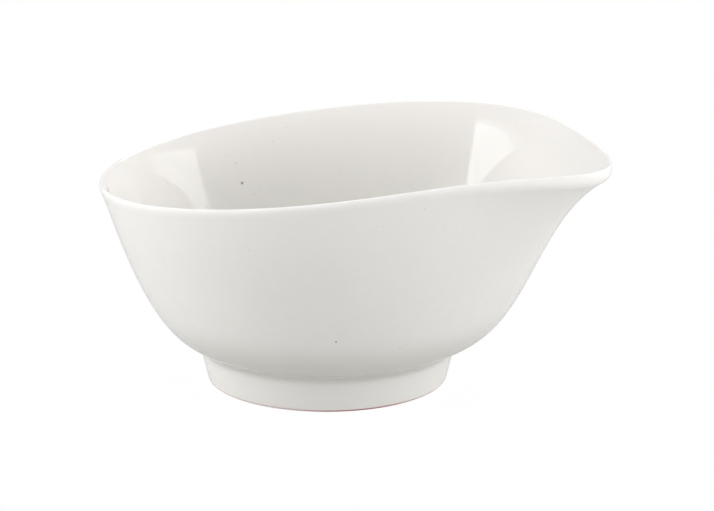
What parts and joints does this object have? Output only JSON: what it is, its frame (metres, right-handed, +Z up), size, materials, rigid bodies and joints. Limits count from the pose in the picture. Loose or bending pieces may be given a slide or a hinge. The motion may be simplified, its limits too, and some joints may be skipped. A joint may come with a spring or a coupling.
{
  "type": "sauce boat",
  "caption": "Handle-less porcelain sauce boat: round flared bowl whose sloping rounded rim is drawn out to a pouring lip, standing on a tapered foot ring.",
  "frame": {"origin": "on the table, under the middle of the overall length and width", "axes": "+X towards the pouring lip, +Z up"},
  "size_m": [0.1496, 0.1288, 0.0725],
  "materials": {
    "bowl_glaze": "gloss",
    "foot_glaze": "gloss"
  },
  "bodies": {
    "root": {"bowl": "bowl_glaze", "foot_ring": "foot_glaze"}
  },
  "joints": []
}
